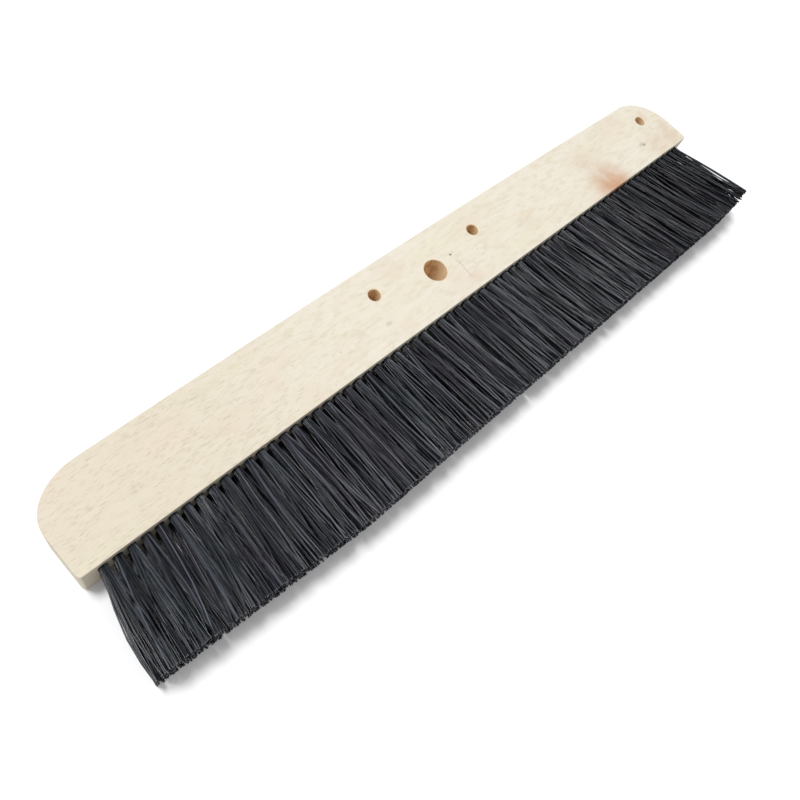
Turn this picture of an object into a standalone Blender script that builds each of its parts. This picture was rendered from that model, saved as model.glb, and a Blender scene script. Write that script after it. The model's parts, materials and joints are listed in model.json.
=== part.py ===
"""Push broom head: a drilled wooden block with two rows of stapled bristle tufts, lying face up.

X runs along the block, Y from the bristle tips to the block's back edge, Z up off the surface it
lies on. The origin is the middle of the underside of the whole head. Everything is in metres.
"""

import math

import bmesh
import bpy
import mathutils

# Block
BLOCK_LENGTH = 0.614
BLOCK_MIDDLE_X = 0.0008  # the tuft rows lie a little nearer to the left end than to the right
BLOCK_WIDTH = 0.061  # at the middle, where the back edge stands furthest from the front face
BLOCK_THICKNESS = 0.028
BACK_CROWN = 0.003  # how far the curve of the back edge would fall by the block's ends
BACK_STEPS = 16
LEFT_CORNER = (0.038, 0.028)  # quarter ellipse of the back left corner: along X, along Y
RIGHT_CORNER = (0.033, 0.038)
LEFT_FRONT_CORNER = (0.002, 0.004)
RIGHT_FRONT_CORNER = (0.0025, 0.003)
EDGE_EASING = 0.0005
CORNER_STEPS = 7

# Holes through the block's thickness, measured from its middle along X and from its front face
HANDLE_HOLE = {"x": 0.0007, "from_face": 0.0297, "radius": 0.0090}
BOLT_SPACING = 0.104
BOLT_HOLE = {"from_face": 0.0398, "radius": 0.00475}
HANG_HOLE = {"x": 0.2806, "from_face": 0.0370, "radius": 0.00475}
ROUND_SIDES = 24

# Tufts, each stapled into a blind hole of the front face
TUFTS_PER_ROW = 66
TUFT_PITCH = 0.0090
ROW_SPACING = 0.0136
TUFT_HOLE_RADIUS = 0.00325
TUFT_HOLE_DEPTH = 0.017
TUFT_SIDES = 8
TUFTS_PER_GROUP = 3
GAP = 0.0003  # kept between neighbouring solids

# Shape of the bristle pack outside the face
TRIM_LENGTH = 0.077
FLARE = 0.037  # share of its own X by which a tuft has moved outwards at its tip
MERGE_LENGTH = 0.025  # distance from the face where neighbouring tufts have closed up
LEG_SHARE = 0.45  # half width of a tuft there, as a share of the pitch
LEG_HALF_HEIGHT = 0.0055
PACK_BOTTOM = {"merge": 0.0016, "tip": 0.0}
PACK_TOP = {"merge": 0.0284, "tip": 0.0365}
PACK_SPLIT = {"merge": 0.0140, "tip": 0.0180}  # height where the lower row gives way to the upper

# The trim line is square to the block, but for a taper at the left and a cut corner at the right
TAPER_START = -0.150
TAPER_SLOPE = 0.070
CUT_START = 0.281
CUT_SLOPE = 0.30

FACE_Y = (TRIM_LENGTH - BLOCK_WIDTH) / 2
BACK_Y = FACE_Y + BLOCK_WIDTH
ROW_HEIGHTS = {
    "lower": (BLOCK_THICKNESS - ROW_SPACING) / 2,
    "upper": (BLOCK_THICKNESS + ROW_SPACING) / 2,
}


def clear_scene():
    for old in list(bpy.data.objects):
        bpy.data.objects.remove(old, do_unlink=True)


def plain_material(name, colour, roughness):
    material = bpy.data.materials.new(name)
    material.use_nodes = True
    shader = material.node_tree.nodes["Principled BSDF"]
    shader.inputs["Base Color"].default_value = (*colour, 1.0)
    shader.inputs["Roughness"].default_value = roughness
    shader.inputs["Metallic"].default_value = 0.0
    return material


def add_object(name, bm, material=None):
    """Turns the bmesh into an object of that name, its faces pointing out."""
    bmesh.ops.recalc_face_normals(bm, faces=bm.faces)
    mesh = bpy.data.meshes.new(name)
    bm.to_mesh(mesh)
    bm.free()
    mesh.shade_smooth()
    mesh.set_sharp_from_angle(angle=math.radians(35))
    thing = bpy.data.objects.new(name, mesh)
    if material:
        mesh.materials.append(material)
    bpy.context.scene.collection.objects.link(thing)
    return thing


def quarter(centre, radii, start):
    """Points of a quarter ellipse, anticlockwise from the start angle."""
    points = []
    for step in range(CORNER_STEPS + 1):
        angle = start + math.pi / 2 * step / CORNER_STEPS
        x = centre[0] + radii[0] * math.cos(angle)
        y = centre[1] + radii[1] * math.sin(angle)
        points.append((x, y))
    return points


def back_edge_y(x):
    """The back edge is slightly crowned along the block."""
    return BACK_Y - BACK_CROWN * (2 * (x - BLOCK_MIDDLE_X) / BLOCK_LENGTH) ** 2


def block_outline():
    """The block seen from above, anticlockwise from its front right corner."""
    right_end = BLOCK_MIDDLE_X + BLOCK_LENGTH / 2
    left_end = BLOCK_MIDDLE_X - BLOCK_LENGTH / 2
    right = right_end - RIGHT_CORNER[0]
    left = left_end + LEFT_CORNER[0]

    front_right = (right_end - RIGHT_FRONT_CORNER[0], FACE_Y + RIGHT_FRONT_CORNER[1])
    points = quarter(front_right, RIGHT_FRONT_CORNER, -math.pi / 2)
    points += quarter((right, back_edge_y(right) - RIGHT_CORNER[1]), RIGHT_CORNER, 0.0)
    for step in range(1, BACK_STEPS):
        x = right + (left - right) * step / BACK_STEPS
        points.append((x, back_edge_y(x)))
    points += quarter((left, back_edge_y(left) - LEFT_CORNER[1]), LEFT_CORNER, math.pi / 2)
    front_left = (left_end + LEFT_FRONT_CORNER[0], FACE_Y + LEFT_FRONT_CORNER[1])
    points += quarter(front_left, LEFT_FRONT_CORNER, math.pi)
    return points


def add_round_cutter(bm, radius, sides, centre, direction, length):
    """A closed prism with its middle at centre and its length along the direction."""
    made = bmesh.ops.create_cone(
        bm, cap_ends=True, segments=sides, radius1=radius, radius2=radius, depth=length
    )
    upright = mathutils.Vector((0, 0, 1))
    turn = upright.rotation_difference(mathutils.Vector(direction)).to_matrix()
    bmesh.ops.transform(bm, matrix=turn.to_4x4(), verts=made["verts"])
    bmesh.ops.translate(bm, vec=centre, verts=made["verts"])


def tuft_x(index):
    return (index - (TUFTS_PER_ROW - 1) / 2) * TUFT_PITCH


def tuft_hole_cutter():
    """All the blind tuft holes as one cutter that starts just outside the front face."""
    bm = bmesh.new()
    overrun = 0.002
    length = TUFT_HOLE_DEPTH + overrun
    y = FACE_Y + TUFT_HOLE_DEPTH - length / 2
    for height in ROW_HEIGHTS.values():
        for index in range(TUFTS_PER_ROW):
            centre = (tuft_x(index), y, height)
            add_round_cutter(bm, TUFT_HOLE_RADIUS, TUFT_SIDES, centre, (0, 1, 0), length)
    return add_cutter("tuft_hole_cutter", bm)


def through_hole_cutter():
    """The handle hole, the two bracket bolt holes and the hanging hole."""
    bm = bmesh.new()
    bolts = [dict(BOLT_HOLE, x=side * BOLT_SPACING / 2) for side in (-1, 1)]
    for hole in [HANDLE_HOLE, HANG_HOLE, *bolts]:
        centre = (BLOCK_MIDDLE_X + hole["x"], FACE_Y + hole["from_face"], BLOCK_THICKNESS / 2)
        length = BLOCK_THICKNESS * 1.5
        add_round_cutter(bm, hole["radius"], ROUND_SIDES, centre, (0, 0, 1), length)
    return add_cutter("through_hole_cutter", bm)


def add_cutter(name, bm):
    cutter = add_object(name, bm)
    cutter.hide_render = True
    cutter.display_type = "WIRE"
    return cutter


def make_block(material):
    """The board with eased edges, drilled from its front face and through its thickness."""
    bm = bmesh.new()
    outline = bm.faces.new([bm.verts.new((x, y, 0.0)) for x, y in block_outline()])
    raised = bmesh.ops.extrude_face_region(bm, geom=[outline])
    top = [part for part in raised["geom"] if isinstance(part, bmesh.types.BMVert)]
    bmesh.ops.translate(bm, vec=(0, 0, BLOCK_THICKNESS), verts=top)
    block = add_object("wood_block", bm, material)

    easing = block.modifiers.new("eased_edges", "BEVEL")
    easing.width = EDGE_EASING
    easing.segments = 2
    easing.limit_method = "ANGLE"
    easing.angle_limit = math.radians(60)
    for cutter in (tuft_hole_cutter(), through_hole_cutter()):
        drill = block.modifiers.new(cutter.name, "BOOLEAN")
        drill.operation = "DIFFERENCE"
        drill.solver = "EXACT"
        drill.object = cutter


def trim_distance(x):
    """Distance from the face to the trimmed tips of what leaves the face at x."""
    taper = max(0.0, TAPER_START - x) * TAPER_SLOPE
    cut = max(0.0, x - CUT_START) * CUT_SLOPE
    return TRIM_LENGTH - taper - cut


def flared(x, distance):
    """Where a bristle that leaves the face at x has got to at this distance from the face."""
    return x * (1 + FLARE * distance / trim_distance(x))


def add_ring(bm, y, centre, half_width, half_height):
    """An octagon with flats at its sides, square to Y."""
    ring = []
    reach = 1 / math.cos(math.pi / TUFT_SIDES)
    for side in range(TUFT_SIDES):
        angle = 2 * math.pi * (side + 0.5) / TUFT_SIDES
        x = centre[0] + half_width * reach * math.cos(angle)
        z = centre[1] + half_height * reach * math.sin(angle)
        ring.append(bm.verts.new((x, y, z)))
    return ring


def loop_edges(bm, ring):
    edges = []
    for here, there in zip(ring, ring[1:] + ring[:1]):
        edges.append(bm.edges.get((here, there)) or bm.edges.new((here, there)))
    return edges


def bridge(bm, near, far):
    """The wall between two rings that have the same number of points."""
    count = len(near)
    for here in range(count):
        there = (here + 1) % count
        bm.faces.new((near[here], near[there], far[there], far[here]))


def add_leg(bm, x, height, merged_height):
    """One tuft from the bottom of its hole to where it joins its neighbours. Gives its last ring."""
    snug = (TUFT_HOLE_RADIUS - GAP) * math.cos(math.pi / TUFT_SIDES)
    bottom = add_ring(bm, FACE_Y + TUFT_HOLE_DEPTH - GAP, (x, height), snug, snug)
    mouth = add_ring(bm, FACE_Y, (x, height), snug, snug)
    merged = (flared(x, MERGE_LENGTH), merged_height)
    half_width = LEG_SHARE * TUFT_PITCH
    end = add_ring(bm, FACE_Y - MERGE_LENGTH, merged, half_width, LEG_HALF_HEIGHT)
    bm.faces.new(bottom)
    bridge(bm, bottom, mouth)
    bridge(bm, mouth, end)
    return end


def row_span(row, place):
    """Lowest and highest point of one row's bristles, at the merge or at the tip."""
    if row == "lower":
        return PACK_BOTTOM[place], PACK_SPLIT[place] - GAP / 2
    return PACK_SPLIT[place] + GAP / 2, PACK_TOP[place]


def make_tuft_group(row, group, material):
    """Neighbouring tufts of one row: separate legs in the holes, one curtain from the merge on."""
    bm = bmesh.new()
    first = group * TUFTS_PER_GROUP
    indices = range(first, first + TUFTS_PER_GROUP)
    left = tuft_x(indices[0]) - TUFT_PITCH / 2
    right = tuft_x(indices[-1]) + TUFT_PITCH / 2

    low, high = row_span(row, "merge")
    y = FACE_Y - MERGE_LENGTH
    near_left = flared(left, MERGE_LENGTH) + GAP / 2
    near_right = flared(right, MERGE_LENGTH) - GAP / 2
    corners = ((near_left, low), (near_right, low), (near_right, high), (near_left, high))
    near = [bm.verts.new((x, y, z)) for x, z in corners]

    tip_low, tip_high = row_span(row, "tip")
    far_left = flared(left, trim_distance(left)) + GAP / 2
    far_right = flared(right, trim_distance(right)) - GAP / 2
    tips = (
        (far_left, left, tip_low),
        (far_right, right, tip_low),
        (far_right, right, tip_high),
        (far_left, left, tip_high),
    )
    far = [bm.verts.new((x, FACE_Y - trim_distance(root), z)) for x, root, z in tips]
    bridge(bm, near, far)
    bm.faces.new(far)

    shoulder = loop_edges(bm, near)
    for index in indices:
        end = add_leg(bm, tuft_x(index), ROW_HEIGHTS[row], (low + high) / 2)
        shoulder += loop_edges(bm, end)
    bmesh.ops.triangle_fill(bm, edges=shoulder, use_beauty=True)
    add_object(f"tuft_group_{row}_{group + 1:02d}", bm, material)


def main():
    clear_scene()
    wood = plain_material("pale_wood", (0.78, 0.68, 0.50), 0.6)
    bristle = plain_material("black_bristle", (0.02, 0.02, 0.022), 0.45)
    make_block(wood)
    for row in ROW_HEIGHTS:
        for group in range(TUFTS_PER_ROW // TUFTS_PER_GROUP):
            make_tuft_group(row, group, bristle)


main()
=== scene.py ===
"""Looks for the push broom head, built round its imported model.

The block is made again with rounder edges and holes, in a procedural pale hardwood. Each tuft is
made again from single filaments, bent double round a wire staple at the bottom of its hole.
Everything is in metres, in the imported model's own frame: X along the block, Y from the bristle
tips to the block's back edge, Z up.
"""

import json
import math
import random

import bmesh
import bpy
from mathutils import Matrix, Vector


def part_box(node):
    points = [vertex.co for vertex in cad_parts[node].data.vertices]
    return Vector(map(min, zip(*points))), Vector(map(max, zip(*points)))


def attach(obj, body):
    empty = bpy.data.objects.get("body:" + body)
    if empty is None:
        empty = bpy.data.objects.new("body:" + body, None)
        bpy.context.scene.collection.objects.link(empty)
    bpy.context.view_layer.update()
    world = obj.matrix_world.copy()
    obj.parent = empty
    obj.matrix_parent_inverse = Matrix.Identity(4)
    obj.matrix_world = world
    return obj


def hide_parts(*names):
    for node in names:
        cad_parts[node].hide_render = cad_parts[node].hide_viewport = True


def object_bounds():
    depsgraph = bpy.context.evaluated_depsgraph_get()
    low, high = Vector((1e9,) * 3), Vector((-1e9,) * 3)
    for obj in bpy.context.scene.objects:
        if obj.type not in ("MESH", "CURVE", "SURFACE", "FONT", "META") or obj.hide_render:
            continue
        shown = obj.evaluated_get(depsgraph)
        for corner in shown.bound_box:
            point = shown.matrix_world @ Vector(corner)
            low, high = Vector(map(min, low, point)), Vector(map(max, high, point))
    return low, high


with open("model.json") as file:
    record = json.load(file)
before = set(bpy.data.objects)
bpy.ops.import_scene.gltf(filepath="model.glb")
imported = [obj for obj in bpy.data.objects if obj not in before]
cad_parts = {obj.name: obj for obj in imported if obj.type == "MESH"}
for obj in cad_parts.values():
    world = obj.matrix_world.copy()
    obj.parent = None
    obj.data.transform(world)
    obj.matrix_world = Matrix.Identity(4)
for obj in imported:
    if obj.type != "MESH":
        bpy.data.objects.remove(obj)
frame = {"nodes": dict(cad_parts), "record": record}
CAD_LOW, CAD_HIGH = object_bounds()

# Block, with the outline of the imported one
BLOCK_LOW, BLOCK_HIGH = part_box("wood_block")
BLOCK_LENGTH = BLOCK_HIGH.x - BLOCK_LOW.x
BLOCK_MIDDLE_X = (BLOCK_HIGH.x + BLOCK_LOW.x) / 2
THICKNESS = BLOCK_HIGH.z - BLOCK_LOW.z
FACE_Y = BLOCK_LOW.y
BACK_CROWN = 0.003  # how far the curve of the back edge would fall by the block's ends
BACK_STEPS = 32
LEFT_CORNER = (0.038, 0.028)  # quarter ellipse of the back left corner: along X, along Y
RIGHT_CORNER = (0.033, 0.038)
LEFT_FRONT_CORNER = (0.002, 0.004)
RIGHT_FRONT_CORNER = (0.0025, 0.003)
CORNER_STEPS = 16
EDGE_RADIUS = 0.0005
EDGE_SEGMENTS = 3
RIM_ANGLE = 60  # degrees over which an edge of the plain block is rounded
SHARP_ANGLE = 35  # degrees over which an edge of the finished block is sharp
HOLE_SIDES = 56
HOLE_RIM = 0.0004
OPENINGS = {box["name"]: box["box_m"] for box in frame["record"]["physics"]["openings"]}

# Tuft holes
TUFTS_PER_GROUP = 3
TUFT_HOLE_RADIUS = 0.00325
TUFT_HOLE_DEPTH = 0.017
TUFT_HOLE_SIDES = 20
TUFT_HOLE_RIM = 0.00025
DRILL_POINT = 0.0012

# Filaments and their staples
STRAND_RADIUS = 0.00047
STRAND_SPACING = 0.00098  # between the filaments' middles in a hole
STRAND_SIDES = 5
TUFT_RADIUS = 0.00273  # out to the middles of the outermost filaments in a hole
STAPLE_DEPTH = 0.0132
STAPLE_HALF_WIDTH = 0.0026
STAPLE_LEG = 0.0055
STAPLE_WIRE = 0.0003
STAPLE_SIDES = 6
STAPLE_TURN = 30  # degrees that a staple may be out of line with the block
OUTSIDE_STATIONS = (0.0, 0.06, 0.18, 0.35, 0.56, 0.78, 1.0)  # shares of the way to the tip
BEND_ANGLES = (0, 45, 90, 135, 180)  # degrees, round the staple
FLAT_END_ANGLE = 80  # degrees from which an edge of a tube is sharp

# How the filaments of a tuft stray from straight lines
LEAN_POWER = 1.10  # over 1, a filament does more of its leaning near its tip
SPREAD_ALONG = 1.35  # width of a tuft at its tips, as a share of its own stretch of the trim
SPREAD_UP = 1.05  # height of a row at its tips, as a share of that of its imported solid
LOCKS_PER_TUFT = 8
CLING = 0.30  # how far a filament is drawn to the middle of its lock
TUFT_LEAN = 0.0009  # this and the next five are sizes of random steps
LOCK_SHIFT = 0.0012
LOCK_BOW = 0.0010
STRAND_SHIFT = 0.0014
STRAND_BOW = 0.0005
STRAND_WAVE = 0.0003
HALF_WAVES = 2.5  # from the face to the tip
UNEVEN_TRIM = 0.0003
STRAY_SHARE = 0.07  # of the filaments, that cross over their neighbours
STRAY_SHIFT = 0.0035
END_REACH = 0.016  # length of the trim, at each end, over which the pack's top rounds off
END_DROP = 0.0085  # how far the pack's top falls there
END_TIDINESS = 0.85  # how far the straying dies down towards either end
END_OVERLAP = 0.7  # added to the spread of the last tufts, to close their ranks
LEFT_END_BOW = 0.0018  # outwards
RIGHT_END_BOW = 0.0006
BOX_MARGIN = STRAND_RADIUS * 1.2  # kept between a filament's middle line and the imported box

# Camera and light
CAMERA_POSITION = (-0.3233, -0.1023, 0.4522)
CAMERA_TURN = (26.4724, -14.4775, -44.0083)  # degrees
CAMERA_LENS = 33.86  # mm, on a 36 mm wide sensor
LAMP_AZIMUTH = 115  # degrees
LAMP_ELEVATION = 72
LAMP_DISTANCE = 8.0
LAMP_SIZE = 2.0
LAMP_POWER = 480.0
SKY_STRENGTH = 0.60
FLOOR_HALF_SIZE = 6

random.seed(24)


# Mesh helpers


def add_object(name, mesh, material):
    thing = bpy.data.objects.new(name, mesh)
    if material:
        mesh.materials.append(material)
    bpy.context.scene.collection.objects.link(thing)
    return thing


def quarter(centre, radii, start):
    """Points of a quarter ellipse, anticlockwise from the start angle."""
    points = []
    for step in range(CORNER_STEPS + 1):
        angle = start + math.pi / 2 * step / CORNER_STEPS
        x = centre[0] + radii[0] * math.cos(angle)
        y = centre[1] + radii[1] * math.sin(angle)
        points.append((x, y))
    return points


def add_turned(bm, profile, sides, placing):
    """A closed turned solid: its profile is (radius, height) from the bottom up, then placed."""
    rings = []
    for radius, height in profile:
        ring = []
        for side in range(sides):
            angle = 2 * math.pi * side / sides
            point = Vector((radius * math.cos(angle), radius * math.sin(angle), height))
            ring.append(bm.verts.new(placing @ point))
        rings.append(ring)
    bm.faces.new(list(reversed(rings[0])))
    bm.faces.new(rings[-1])
    for low, high in zip(rings, rings[1:]):
        for here in range(sides):
            there = (here + 1) % sides
            bm.faces.new((low[here], low[there], high[there], high[here]))


def add_tube(verts, faces, path, radius, sides):
    """A tube along the path with flat ends, its section carried along without twist."""
    first = len(verts)
    across = None
    for index, point in enumerate(path):
        ahead = path[min(index + 1, len(path) - 1)] - path[max(index - 1, 0)]
        ahead.normalize()
        if across is None:
            across = ahead.orthogonal()
        across = (across - ahead * across.dot(ahead)).normalized()
        third = ahead.cross(across)
        for side in range(sides):
            angle = 2 * math.pi * side / sides
            verts.append(point + (across * math.cos(angle) + third * math.sin(angle)) * radius)
    for ring in range(len(path) - 1):
        near = first + ring * sides
        far = near + sides
        for here in range(sides):
            there = (here + 1) % sides
            faces.append((near + here, near + there, far + there, far + here))
    faces.append(tuple(reversed(range(first, first + sides))))
    faces.append(tuple(range(len(verts) - sides, len(verts))))


def tube_object(name, verts, faces, material):
    mesh = bpy.data.meshes.new(name)
    mesh.from_pydata(verts, [], faces)
    mesh.shade_smooth()
    mesh.set_sharp_from_angle(angle=math.radians(FLAT_END_ANGLE))
    return add_object(name, mesh, material)


def finish_piece(piece, slot, *nodes):
    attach(piece, "root")
    if nodes:
        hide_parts(*nodes)


# Material helpers


def shade(red, green, blue):
    """A colour from its everyday 0 to 255 values."""
    linear = []
    for value in (red, green, blue):
        share = value / 255
        linear.append(share / 12.92 if share <= 0.04045 else ((share + 0.055) / 1.055) ** 2.4)
    return (*linear, 1.0)


class Graph:
    """One material's node tree, with short ways to add the nodes that the looks here use."""

    def __init__(self, name):
        self.material = bpy.data.materials.new(name)
        self.material.use_nodes = True
        self.tree = self.material.node_tree
        self.shader = self.tree.nodes["Principled BSDF"]
        self.position = self.tree.nodes.new("ShaderNodeTexCoord").outputs["Object"]

    def feed(self, socket, value):
        if isinstance(value, bpy.types.NodeSocket):
            self.tree.links.new(value, socket)
        else:
            socket.default_value = value

    def math(self, operation, first, second=0.0):
        node = self.tree.nodes.new("ShaderNodeMath")
        node.operation = operation
        self.feed(node.inputs[0], first)
        self.feed(node.inputs[1], second)
        return node.outputs[0]

    def axes(self):
        node = self.tree.nodes.new("ShaderNodeSeparateXYZ")
        self.feed(node.inputs[0], self.position)
        return node.outputs

    def moved(self, scale, centre=(0, 0, 0)):
        """The position measured from a centre, each axis multiplied by its own scale."""
        shift = self.tree.nodes.new("ShaderNodeVectorMath")
        shift.operation = "SUBTRACT"
        self.feed(shift.inputs[0], self.position)
        self.feed(shift.inputs[1], centre)
        stretch = self.tree.nodes.new("ShaderNodeVectorMath")
        stretch.operation = "MULTIPLY"
        self.feed(stretch.inputs[0], shift.outputs[0])
        self.feed(stretch.inputs[1], scale)
        return stretch.outputs[0]

    def noise(self, vector, detail=2.0, roughness=0.5, bend=0.0):
        node = self.tree.nodes.new("ShaderNodeTexNoise")
        self.feed(node.inputs["Vector"], vector)
        self.feed(node.inputs["Scale"], 1.0)
        self.feed(node.inputs["Detail"], detail)
        self.feed(node.inputs["Roughness"], roughness)
        self.feed(node.inputs["Distortion"], bend)
        return node.outputs["Fac"]

    def rise(self, value, low, high):
        """0 up to low and 1 from high, smooth between. It falls where high is the lower one."""
        node = self.tree.nodes.new("ShaderNodeMapRange")
        node.interpolation_type = "SMOOTHSTEP"
        self.feed(node.inputs["Value"], value)
        self.feed(node.inputs["From Min"], low)
        self.feed(node.inputs["From Max"], high)
        return node.outputs["Result"]

    def mix(self, share, first, second):
        node = self.tree.nodes.new("ShaderNodeMix")
        node.data_type = "RGBA"
        self.feed(node.inputs[0], share)
        self.feed(node.inputs[6], first)
        self.feed(node.inputs[7], second)
        return node.outputs[2]

    def wash(self, colour, paint, mask, share):
        """The colour with a paint laid over it: by the given share where the mask is 1."""
        return self.mix(self.math("MULTIPLY", mask, share), colour, paint)

    def length(self, vector):
        node = self.tree.nodes.new("ShaderNodeVectorMath")
        node.operation = "LENGTH"
        self.feed(node.inputs[0], vector)
        return node.outputs["Value"]

    def rough(self, pattern, least, spread):
        """The shader's roughness, from a pattern that goes from 0 to 1."""
        value = self.math("ADD", self.math("MULTIPLY", pattern, spread), least)
        self.feed(self.shader.inputs["Roughness"], value)

    def bump(self, height, strength, distance):
        node = self.tree.nodes.new("ShaderNodeBump")
        self.feed(node.inputs["Height"], height)
        self.feed(node.inputs["Strength"], strength)
        self.feed(node.inputs["Distance"], distance)
        self.feed(self.shader.inputs["Normal"], node.outputs["Normal"])


# Colours and marks

CREAM = shade(215, 209, 195)
WARM_CREAM = shade(207, 198, 180)
STRAW = shade(210, 203, 178)
FIBRE = shade(203, 194, 174)
PORE = shade(172, 157, 132)
PORE_STRENGTH = 0.45
PORE_LIMIT = 0.755  # how strong a dash of the noise has to be to show, before the two gains
PORE_LEFT_GAIN = 0.16
PORE_PATCH_GAIN = 0.14
ROSE = shade(212, 196, 180)
KNOT = shade(186, 146, 116)
KNOT_HEART = shade(186, 134, 98)
GREY_MARK = shade(120, 110, 96)
CRACK = shade(148, 132, 110)
BORE = shade(226, 192, 150)
BORE_STRIPE = shade(200, 158, 115)
# painted light, on the lit side of the holes' walls
BORE_PAINTED_LIGHT = shade(252, 232, 196)

FILAMENT_DARK = shade(9, 11, 16)
FILAMENT_PALE = shade(101, 106, 118)
FEW_PALE = 3.2  # the higher this power is, the fewer filaments are pale
TEAL_CAST = shade(13, 27, 35)
PURPLE_CAST = shade(33, 26, 42)
CAST_SHARE = 0.38
FILAMENT_DUST = shade(68, 70, 77)
# painted shade, laid over the bristles towards the right end
FILAMENT_PAINTED_SHADE = shade(9, 10, 14)
PAINTED_SHADE_RANGE = (0.05, 0.30)  # the bristles darken along X from the first place to the second
PAINTED_SHADE_SHARE = 0.60
STEEL_DARK = shade(150, 150, 152)
STEEL_PALE = shade(196, 196, 198)
PAPER_DARK = shade(243, 243, 244)
PAPER_PALE = shade(245, 245, 246)

# Small marks on the face: x, distance from the front face, half sizes along and across, strength
MARKS = (
    (0.0209, 0.0333, 0.0019, 0.0014, 0.90),
    (0.0238, 0.0341, 0.0012, 0.0008, 0.45),
    (-0.0588, 0.0170, 0.0042, 0.0022, 0.22),
    (-0.1010, 0.0200, 0.0016, 0.0006, 0.45),
    (-0.1330, 0.0310, 0.0013, 0.0006, 0.35),
    (0.0433, 0.0255, 0.0011, 0.0010, 0.35),
    (0.2610, 0.0169, 0.0030, 0.0024, 0.55),
    (0.2590, 0.0187, 0.0050, 0.0034, 0.22),
)

# Warm stains on the face, given in the same way
STAINS = (
    (0.0240, 0.0085, 0.0110, 0.0080, 0.18),
    (0.1000, 0.0200, 0.0160, 0.0120, 0.16),
    (0.2960, 0.0100, 0.0150, 0.0160, 0.34),
    (0.2990, 0.0230, 0.0090, 0.0090, 0.30),
    (0.2890, 0.0400, 0.0060, 0.0100, 0.26),
    (0.1900, 0.0380, 0.0300, 0.0160, 0.16),
    (0.2760, 0.0100, 0.0260, 0.0260, 0.22),
)
SPOT_DEPTH = 0.010  # of marks and stains, below the face
PIN_CRACK = {
    "x": 0.0214,
    "near": 0.0105,  # both ends are distances from the front face
    "far": 0.0300,
    "half_width": 0.00044,  # out to where its soft edge has faded
    "wander": 0.0048,  # the whole width that it could stray over
    "strength": 0.60,
}
LARGE_KNOT = {"x": 0.1975, "from_face": 0.002, "half": (0.031, 0.038, 0.060)}
KNOT_CORE = {"x": 0.2005, "from_face": 0.003, "half": (0.021, 0.014, 0.030)}


# Wood


def wood_tone(graph):
    """The bare face: cream, warmer at the left end, with soft bands and fine fibres along X."""
    left_end = graph.rise(graph.axes()["X"], low=-0.05, high=-0.26)
    colour = graph.mix(left_end, CREAM, WARM_CREAM)
    bands = graph.noise(graph.moved((7, 60, 60)), detail=3, bend=0.4)
    colour = graph.wash(colour, STRAW, graph.rise(bands, low=0.45, high=0.72), share=0.50)
    blush = graph.noise(graph.moved((26, 40, 40), centre=(0.3, 0.1, 0)), detail=3)
    colour = graph.wash(colour, ROSE, graph.rise(blush, low=0.50, high=0.72), share=0.55)
    fibres = graph.noise(graph.moved((60, 800, 800)), detail=3, roughness=0.6)
    mottle = graph.noise(graph.moved((110, 300, 300), centre=(0.1, 0, 0)), detail=3, roughness=0.6)
    colour = graph.wash(colour, FIBRE, graph.rise(mottle, low=0.46, high=0.70), share=0.75)
    colour = graph.wash(colour, FIBRE, graph.rise(fibres, low=0.42, high=0.75), share=0.50)
    return colour, fibres


def pore_mask(graph):
    """Short dashes along the grain, thick at the left end and rare at the right."""
    dashes = graph.noise(graph.moved((190, 1300, 1300)), detail=3, roughness=0.55)
    patches = graph.noise(graph.moved((22, 70, 70), centre=(0.7, 0.2, 0)), detail=2)
    left_side = graph.rise(graph.axes()["X"], low=0.04, high=-0.20)
    plenty = graph.math("MULTIPLY", left_side, PORE_LEFT_GAIN)
    plenty = graph.math("ADD", plenty, graph.math("MULTIPLY", patches, PORE_PATCH_GAIN))
    limit = graph.math("SUBTRACT", PORE_LIMIT, plenty)
    mask = graph.rise(graph.math("SUBTRACT", dashes, limit), low=0.0, high=0.16)
    return graph.math("MULTIPLY", mask, PORE_STRENGTH)


def spot_mask(graph, centre, half_sizes, edge):
    """0 outside an ellipsoid, rising to 1 at the given share of its half sizes."""
    scale = tuple(1 / half for half in half_sizes)
    return graph.rise(graph.length(graph.moved(scale, centre)), low=1.0, high=edge)


def add_spots(graph, colour, spots, paint, edge):
    """Mixes a paint into the face's colour at each of the listed places."""
    for x, from_face, half_along, half_across, strength in spots:
        centre = (x, FACE_Y + from_face, THICKNESS)
        mask = spot_mask(graph, centre, (half_along, half_across, SPOT_DEPTH), edge)
        colour = graph.wash(colour, paint, mask, strength)
    return colour


def add_large_knot(graph, colour):
    """An orange patch round a buried knot by the front edge, deepest beside the edge."""
    centre = (LARGE_KNOT["x"], FACE_Y + LARGE_KNOT["from_face"], THICKNESS)
    area = spot_mask(graph, centre, LARGE_KNOT["half"], edge=0.1)
    cloud = graph.noise(graph.moved((70, 45, 45), centre), detail=3)
    patchy = graph.math("MULTIPLY", area, graph.rise(cloud, low=0.20, high=0.60))
    colour = graph.wash(colour, KNOT, patchy, share=0.85)
    core = (KNOT_CORE["x"], FACE_Y + KNOT_CORE["from_face"], THICKNESS)
    heart = spot_mask(graph, core, KNOT_CORE["half"], edge=0.0)
    return graph.wash(colour, KNOT_HEART, heart, share=0.65)


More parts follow.
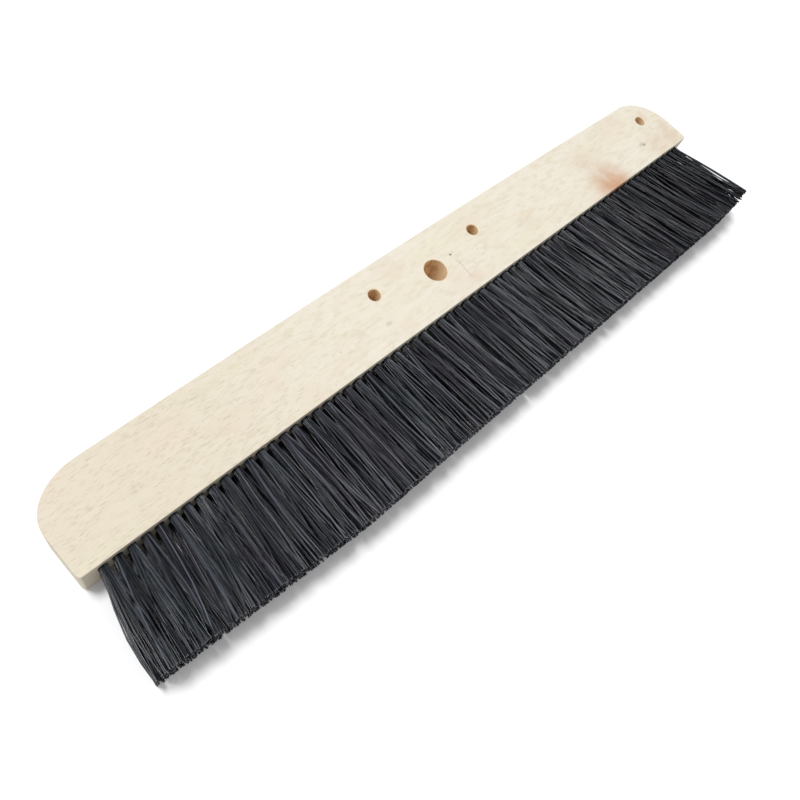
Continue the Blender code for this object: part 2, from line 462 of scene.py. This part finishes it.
def add_crack(graph, colour):
    """A hairline that runs from beside the small dark mark towards the front edge."""
    x, y, z = graph.axes()
    wander = graph.noise(graph.moved((10, 130, 10)), detail=2)
    wander = graph.math("MULTIPLY", graph.math("SUBTRACT", wander, 0.5), PIN_CRACK["wander"])
    offset = graph.math("ADD", graph.math("SUBTRACT", x, PIN_CRACK["x"]), wander)
    line = graph.rise(graph.math("ABSOLUTE", offset), low=PIN_CRACK["half_width"], high=0.0)
    near = FACE_Y + PIN_CRACK["near"]
    far = FACE_Y + PIN_CRACK["far"]
    start = graph.rise(y, low=near - 0.003, high=near)
    end = graph.rise(y, low=far, high=far - 0.004)
    face = graph.rise(z, low=THICKNESS - 0.003, high=THICKNESS - 0.001)
    for limit in (start, end, face, PIN_CRACK["strength"]):
        line = graph.math("MULTIPLY", line, limit)
    return graph.mix(line, colour, CRACK), line


def add_bores(graph, colour):
    """Darker, striped grain on the walls of the holes, with painted light making them paler towards
    their right and front.
    """
    rings = graph.noise(graph.moved((420, 60, 150)), detail=3, bend=0.6)
    striped = graph.mix(graph.rise(rings, low=0.46, high=0.60), BORE, BORE_STRIPE)
    x, y, _ = graph.axes()
    slant = graph.math("SUBTRACT", x, y)
    for name in OPENINGS:
        radius = hole_radius(name)
        centre = opening_centre(name)
        middle = centre[0] - centre[1]
        # Painted light: the side of each hole's wall towards the right and front is made paler, as
        # where the lamp reaches into the hole.
        pale = graph.rise(slant, low=middle, high=middle + radius * 1.4)
        wall = graph.wash(striped, BORE_PAINTED_LIGHT, pale, share=0.9)
        reach = radius + HOLE_RIM * 0.4
        distance = graph.length(graph.moved((1, 1, 0), centre=(*centre, 0)))
        colour = graph.mix(graph.rise(distance, low=reach + 0.0002, high=reach), colour, wall)
    return colour


def wood_material():
    graph = Graph("pale_hardwood")
    colour, fibres = wood_tone(graph)
    pores = pore_mask(graph)
    colour = graph.mix(pores, colour, PORE)
    colour = add_large_knot(graph, colour)
    colour = add_spots(graph, colour, STAINS, KNOT, edge=0.0)
    colour = add_spots(graph, colour, MARKS, GREY_MARK, edge=0.2)
    colour, crack = add_crack(graph, colour)
    colour = add_bores(graph, colour)
    graph.feed(graph.shader.inputs["Base Color"], colour)
    graph.rough(fibres, least=0.50, spread=0.22)
    graph.feed(graph.shader.inputs["Specular IOR Level"], 0.30)
    height = graph.math("SUBTRACT", graph.math("MULTIPLY", fibres, 0.5), pores)
    height = graph.math("SUBTRACT", height, crack)
    graph.bump(height, strength=0.35, distance=0.00025)
    return graph.material


# Filament and staple materials


def bristle_material():
    """Black extruded filament with a satin skin, no two quite the same, with painted shade towards
    the right end.
    """
    graph = Graph("black_filament")
    geometry = graph.tree.nodes.new("ShaderNodeNewGeometry")
    each = geometry.outputs["Random Per Island"]
    pale = graph.math("POWER", each, FEW_PALE)
    colour = graph.mix(pale, FILAMENT_DARK, FILAMENT_PALE)
    drift = graph.noise(graph.moved((45, 12, 45)), detail=2)
    cast = graph.mix(graph.rise(drift, low=0.35, high=0.65), TEAL_CAST, PURPLE_CAST)
    colour = graph.mix(CAST_SHARE, colour, cast)
    dust = graph.noise(graph.moved((900, 240, 900)), detail=2)
    colour = graph.wash(colour, FILAMENT_DUST, graph.rise(dust, low=0.55, high=0.80), share=0.25)
    # Painted shade: towards the right end the filaments are darkened and their sheen lowered,
    # standing in for the shade that the light leaves there.
    right_side = graph.rise(graph.axes()["X"], *PAINTED_SHADE_RANGE)
    painted_shade = graph.math("MULTIPLY", right_side, PAINTED_SHADE_SHARE)
    colour = graph.mix(painted_shade, colour, FILAMENT_PAINTED_SHADE)
    graph.feed(graph.shader.inputs["Base Color"], colour)
    sheen = graph.math("SUBTRACT", 0.42, graph.math("MULTIPLY", painted_shade, 0.45))
    graph.feed(graph.shader.inputs["Specular IOR Level"], sheen)
    graph.rough(each, least=0.22, spread=0.12)
    scuffs = graph.noise(graph.moved((2600, 500, 2600)), detail=1)
    graph.bump(scuffs, strength=0.15, distance=0.00005)
    return graph.material


def staple_material():
    """Drawn steel wire with fine marks along it."""
    graph = Graph("staple_wire")
    marks = graph.noise(graph.moved((700, 2600, 2600)), detail=2)
    graph.feed(graph.shader.inputs["Base Color"], graph.mix(marks, STEEL_DARK, STEEL_PALE))
    graph.feed(graph.shader.inputs["Metallic"], 1.0)
    graph.rough(marks, least=0.25, spread=0.2)
    return graph.material


# Block


def back_edge_y(x):
    return BLOCK_HIGH.y - BACK_CROWN * (2 * (x - BLOCK_MIDDLE_X) / BLOCK_LENGTH) ** 2


def block_outline():
    """The block seen from above, anticlockwise from its front right corner."""
    right = BLOCK_HIGH.x - RIGHT_CORNER[0]
    left = BLOCK_LOW.x + LEFT_CORNER[0]
    front_right = (BLOCK_HIGH.x - RIGHT_FRONT_CORNER[0], FACE_Y + RIGHT_FRONT_CORNER[1])
    front_left = (BLOCK_LOW.x + LEFT_FRONT_CORNER[0], FACE_Y + LEFT_FRONT_CORNER[1])
    points = quarter(front_right, RIGHT_FRONT_CORNER, -math.pi / 2)
    points += quarter((right, back_edge_y(right) - RIGHT_CORNER[1]), RIGHT_CORNER, 0.0)
    for step in range(1, BACK_STEPS):
        x = right + (left - right) * step / BACK_STEPS
        points.append((x, back_edge_y(x)))
    points += quarter((left, back_edge_y(left) - LEFT_CORNER[1]), LEFT_CORNER, math.pi / 2)
    points += quarter(front_left, LEFT_FRONT_CORNER, math.pi)
    return points


def opening_centre(name):
    low, high = OPENINGS[name]
    return (low[0] + high[0]) / 2, (low[1] + high[1]) / 2


def hole_radius(name):
    """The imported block's points nearest to a hole's axis are those of its wall."""
    x, y = opening_centre(name)
    points = frame["nodes"]["wood_block"].data.vertices
    return min(math.hypot(point.co.x - x, point.co.y - y) for point in points)


def through_hole_cutter():
    bm = bmesh.new()
    overrun = 0.002
    for name in OPENINGS:
        radius = hole_radius(name)
        flare = radius + HOLE_RIM + overrun
        profile = (
            (flare, -overrun),
            (radius, HOLE_RIM),
            (radius, THICKNESS - HOLE_RIM),
            (flare, THICKNESS + overrun),
        )
        add_turned(bm, profile, HOLE_SIDES, Matrix.Translation((*opening_centre(name), 0)))
    return cutter_object("through_holes", bm)


def tuft_hole_cutter(roots):
    """Blind holes with the cone of a drill's point at the bottom."""
    bm = bmesh.new()
    overrun = 0.001
    profile = (
        (TUFT_HOLE_RADIUS + TUFT_HOLE_RIM + overrun, -overrun),
        (TUFT_HOLE_RADIUS, TUFT_HOLE_RIM),
        (TUFT_HOLE_RADIUS, TUFT_HOLE_DEPTH),
        (TUFT_HOLE_RADIUS * 0.1, TUFT_HOLE_DEPTH + DRILL_POINT),
    )
    inwards = Matrix.Rotation(-math.pi / 2, 4, "X")
    for root in roots:
        add_turned(bm, profile, TUFT_HOLE_SIDES, Matrix.Translation(root) @ inwards)
    return cutter_object("tuft_holes", bm)


def cutter_object(name, bm):
    bmesh.ops.recalc_face_normals(bm, faces=bm.faces)
    mesh = bpy.data.meshes.new(name)
    bm.to_mesh(mesh)
    bm.free()
    return add_object(name, mesh, None)


def cut_and_apply(block, cutters):
    """Drills the block, then keeps the finished mesh and drops the cutters."""
    for cutter in cutters:
        drill = block.modifiers.new(cutter.name, "BOOLEAN")
        drill.operation = "DIFFERENCE"
        drill.solver = "EXACT"
        drill.object = cutter
    depsgraph = bpy.context.evaluated_depsgraph_get()
    mesh = bpy.data.meshes.new_from_object(block.evaluated_get(depsgraph))
    block.modifiers.clear()
    block.data = mesh
    for cutter in cutters:
        bpy.data.objects.remove(cutter)


def make_block(material, roots):
    bm = bmesh.new()
    outline = bm.faces.new([bm.verts.new((x, y, 0.0)) for x, y in block_outline()])
    raised = bmesh.ops.extrude_face_region(bm, geom=[outline])
    top = [part for part in raised["geom"] if isinstance(part, bmesh.types.BMVert)]
    bmesh.ops.translate(bm, vec=(0, 0, THICKNESS), verts=top)
    bmesh.ops.recalc_face_normals(bm, faces=bm.faces)
    rim = [edge for edge in bm.edges if edge.calc_face_angle() > math.radians(RIM_ANGLE)]
    bmesh.ops.bevel(
        bm, geom=rim, offset=EDGE_RADIUS, offset_type="OFFSET", segments=EDGE_SEGMENTS,
        profile=0.5, affect="EDGES", clamp_overlap=True,
    )
    mesh = bpy.data.meshes.new("broom_block")
    bm.to_mesh(mesh)
    bm.free()
    block = add_object("broom_block", mesh, material)
    cut_and_apply(block, [tuft_hole_cutter(roots), through_hole_cutter()])
    block.data.shade_smooth()
    block.data.set_sharp_from_angle(angle=math.radians(SHARP_ANGLE))
    even = block.modifiers.new("even_shading", "WEIGHTED_NORMAL")
    even.keep_sharp = True
    finish_piece(block, "wood", "wood_block")


# Tufts


def group_names(row):
    return sorted(name for name in frame["nodes"] if name.startswith(f"tuft_group_{row}_"))


def group_roots(name):
    """Where each tuft of a group leaves the face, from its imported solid's legs in the holes."""
    points = [vertex.co for vertex in frame["nodes"][name].data.vertices]
    deep = sorted((p for p in points if p.y > FACE_Y + TUFT_HOLE_DEPTH / 2), key=lambda p: p.x)
    share = len(deep) // TUFTS_PER_GROUP
    roots = []
    for first in range(0, share * TUFTS_PER_GROUP, share):
        leg = deep[first:first + share]
        x = (leg[0].x + leg[-1].x) / 2
        z = (min(p.z for p in leg) + max(p.z for p in leg)) / 2
        roots.append(Vector((x, FACE_Y, z)))
    return roots


def group_tips(name):
    """The trimmed end of a group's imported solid: its left and right, and lowest and highest."""
    points = [vertex.co for vertex in frame["nodes"][name].data.vertices]
    middle = (FACE_Y + min(p.y for p in points)) / 2
    ends = [p for p in points if p.y < middle]
    left = min(ends, key=lambda p: p.x)
    right = max(ends, key=lambda p: p.x)
    return left, right, min(p.z for p in ends), max(p.z for p in ends)


def strand_places():
    """Where filaments cross the upper half of a tuft: close packed rows above the staple."""
    places = []
    across = STAPLE_WIRE + STRAND_RADIUS
    while across <= TUFT_RADIUS:
        half = math.sqrt(TUFT_RADIUS**2 - across**2)
        count = int(2 * half / STRAND_SPACING) + 1
        for index in range(count):
            places.append(((index - (count - 1) / 2) * STRAND_SPACING, across))
        across += STRAND_SPACING * math.sqrt(0.75)
    return places


def make_locks():
    """Filaments gather in locks, each with its own small lean and bow."""
    locks = []
    for _ in range(LOCKS_PER_TUFT):
        angle = random.uniform(0, 2 * math.pi)
        reach = math.sqrt(random.random())
        locks.append({
            "place": Vector((reach * math.cos(angle), reach * math.sin(angle))),
            "shift": (random.gauss(0, LOCK_SHIFT), random.gauss(0, LOCK_SHIFT)),
            "bow": (random.gauss(0, LOCK_BOW), random.gauss(0, LOCK_BOW)),
        })
    return locks


def evened(place):
    """A round tuft's places, moved to fill a band of even thickness beside its neighbours."""
    least = 0.05  # keeps a place at the very top or bottom from being thrown far out
    half_width = math.sqrt(max(1 - place.y**2, least))
    up = (place.y * half_width + math.asin(max(-1, min(1, place.y)))) * 2 / math.pi
    return Vector((place.x / half_width, up))


def end_share(x):
    """0 along the middle of the trim, rising to 1 at either end."""
    return max(0.0, 1 - (CAD_HIGH.x - abs(x)) / END_REACH)


def freedom(x):
    """How freely filaments stray: 1 along the middle, least over the outer half of an end."""
    return 1 - END_TIDINESS * min(1, end_share(x) * 2)


def strand_tip(place, lock, tuft):
    """Where a filament ends on the trim line."""
    left, right, low, high = tuft["tips"]
    free = freedom(left.x + (right.x - left.x) * (tuft["number"] + 0.5) / TUFTS_PER_GROUP)
    gathered = evened(place).lerp(evened(lock["place"]), CLING * free)
    spread = SPREAD_ALONG + END_OVERLAP * (1 - free)
    share = (tuft["number"] + 0.5 + gathered.x * spread / 2) / TUFTS_PER_GROUP
    x = left.x + (right.x - left.x) * share
    shift = free * (STRAY_SHIFT if random.random() < STRAY_SHARE else STRAND_SHIFT)
    x += free * (tuft["lean"] + lock["shift"][0]) + random.gauss(0, shift)
    y = left.y + (right.y - left.y) * share + random.uniform(0, UNEVEN_TRIM)
    z = (low + high) / 2 + (high - low) * gathered.y * SPREAD_UP / 2
    z += free * lock["shift"][1] + random.gauss(0, shift)
    z -= END_DROP * end_share(x) ** 2 * z / CAD_HIGH.z
    return within_pack(Vector((x, y, z)))


def within_pack(point):
    """The point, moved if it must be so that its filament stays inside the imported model's box."""
    return Vector((
        min(max(point.x, CAD_LOW.x + BOX_MARGIN), CAD_HIGH.x - BOX_MARGIN),
        max(point.y, CAD_LOW.y + BOX_MARGIN),
        min(max(point.z, CAD_LOW.z + BOX_MARGIN), CAD_HIGH.z - BOX_MARGIN),
    ))


def outside_path(root, place, lock, tuft):
    """One end of a filament, from the face to its tip."""
    tip = strand_tip(place, lock, tuft)
    bow = [value + random.gauss(0, STRAND_BOW) for value in lock["bow"]]
    bow[0] += end_share(tip.x) * (RIGHT_END_BOW if tip.x > 0 else -LEFT_END_BOW)
    wave = [random.gauss(0, STRAND_WAVE) for _ in bow]
    path = []
    for share in OUTSIDE_STATIONS:
        lean = share**LEAN_POWER
        swell = math.sin(math.pi * share)
        ripple = math.sin(HALF_WAVES * math.pi * share) * share
        x = root.x + (tip.x - root.x) * lean + bow[0] * swell + wave[0] * ripple
        z = root.z + (tip.z - root.z) * lean + bow[1] * swell + wave[1] * ripple
        path.append(within_pack(Vector((x, FACE_Y + (tip.y - FACE_Y) * share, z))))
    return path


def filament_path(along, across, tuft):
    """A whole filament: tip, hole, round the staple, and out again to its other tip."""
    ends = []
    for side in (1, -1):
        offset = tuft["turn"] @ Vector((along, side * across))
        place = offset / TUFT_RADIUS
        lock = min(tuft["locks"], key=lambda each: (each["place"] - place).length)
        root = tuft["root"] + Vector((offset.x, 0, offset.y))
        ends.append(outside_path(root, place, lock, tuft))
    bend = []
    for angle in BEND_ANGLES:
        turned = math.radians(angle)
        offset = tuft["turn"] @ Vector((along, across * math.cos(turned)))
        depth = STAPLE_DEPTH + across * math.sin(turned)
        bend.append(tuft["root"] + Vector((offset.x, depth, offset.y)))
    return ends[0][::-1] + bend + ends[1]


def make_tuft(root, number, tips):
    turn = math.radians(random.uniform(-STAPLE_TURN, STAPLE_TURN))
    return {
        "root": root,
        "number": number,
        "tips": tips,
        "turn": Matrix.Rotation(turn, 2),
        "lean": random.gauss(0, TUFT_LEAN),
        "locks": make_locks(),
    }


def make_bristles(name, tufts, material):
    """One piece for each packed group of tufts."""
    verts = []
    faces = []
    for tuft in tufts:
        for along, across in strand_places():
            path = filament_path(along, across, tuft)
            add_tube(verts, faces, path, STRAND_RADIUS, STRAND_SIDES)
    piece = tube_object(name.replace("tuft_group", "bristles"), verts, faces, material)
    finish_piece(piece, "bristle", name)


def make_staples(row, tufts, material):
    """The wire across the bend of each tuft, its legs driven on into the wood."""
    verts = []
    faces = []
    for tuft in tufts:
        path = []
        for along, depth in (
            (-STAPLE_HALF_WIDTH, STAPLE_DEPTH + STAPLE_LEG),
            (-STAPLE_HALF_WIDTH, STAPLE_DEPTH + STAPLE_WIRE * 2),
            (-STAPLE_HALF_WIDTH + STAPLE_WIRE * 2, STAPLE_DEPTH),
            (STAPLE_HALF_WIDTH - STAPLE_WIRE * 2, STAPLE_DEPTH),
            (STAPLE_HALF_WIDTH, STAPLE_DEPTH + STAPLE_WIRE * 2),
            (STAPLE_HALF_WIDTH, STAPLE_DEPTH + STAPLE_LEG),
        ):
            offset = tuft["turn"] @ Vector((along, 0))
            path.append(tuft["root"] + Vector((offset.x, depth, offset.y)))
        add_tube(verts, faces, path, STAPLE_WIRE, STAPLE_SIDES)
    piece = tube_object(f"wire_staples_{row}", verts, faces, material)
    finish_piece(piece, "staple_wire")


# Stage


def floor_material():
    graph = Graph("white_floor")
    grain = graph.noise(graph.moved((500, 500, 500)), detail=2)
    graph.feed(graph.shader.inputs["Base Color"], graph.mix(grain, PAPER_DARK, PAPER_PALE))
    graph.feed(graph.shader.inputs["Roughness"], 0.9)
    graph.feed(graph.shader.inputs["Specular IOR Level"], 0.0)
    return graph.material


def make_stage():
    mesh = bpy.data.meshes.new("floor")
    bm = bmesh.new()
    bmesh.ops.create_grid(bm, x_segments=1, y_segments=1, size=FLOOR_HALF_SIZE)
    bm.to_mesh(mesh)
    bm.free()
    add_object("floor", mesh, floor_material())


def make_light():
    world = bpy.data.worlds.new("studio")
    bpy.context.scene.world = world
    world.use_nodes = True
    sky = world.node_tree.nodes["Background"]
    sky.inputs["Color"].default_value = (1.0, 1.0, 1.0, 1.0)
    sky.inputs["Strength"].default_value = SKY_STRENGTH

    lamp = bpy.data.lights.new("softbox", "AREA")
    lamp.shape = "DISK"
    lamp.size = LAMP_SIZE
    lamp.energy = LAMP_POWER
    azimuth = math.radians(LAMP_AZIMUTH)
    elevation = math.radians(LAMP_ELEVATION)
    towards = Vector((
        math.cos(elevation) * math.cos(azimuth),
        math.cos(elevation) * math.sin(azimuth),
        math.sin(elevation),
    ))
    softbox = bpy.data.objects.new("softbox", lamp)
    softbox.location = towards * LAMP_DISTANCE
    softbox.rotation_euler = towards.to_track_quat("Z", "Y").to_euler()
    bpy.context.scene.collection.objects.link(softbox)


def make_camera():
    lens = bpy.data.cameras.new("camera")
    lens.lens = CAMERA_LENS
    camera = bpy.data.objects.new("camera", lens)
    camera.location = CAMERA_POSITION
    camera.rotation_euler = [math.radians(angle) for angle in CAMERA_TURN]
    bpy.context.scene.collection.objects.link(camera)
    bpy.context.scene.camera = camera
    bpy.context.scene.view_settings.view_transform = "Standard"


def main():
    make_camera()
    make_light()
    make_stage()
    wood = wood_material()
    bristle = bristle_material()
    steel = staple_material()
    all_roots = []
    for row in ("lower", "upper"):
        row_tufts = []
        for name in group_names(row):
            tips = group_tips(name)
            tufts = [make_tuft(root, number, tips) for number, root in enumerate(group_roots(name))]
            make_bristles(name, tufts, bristle)
            row_tufts += tufts
        make_staples(row, row_tufts, steel)
        all_roots += [tuft["root"] for tuft in row_tufts]
    make_block(wood, all_roots)


main()
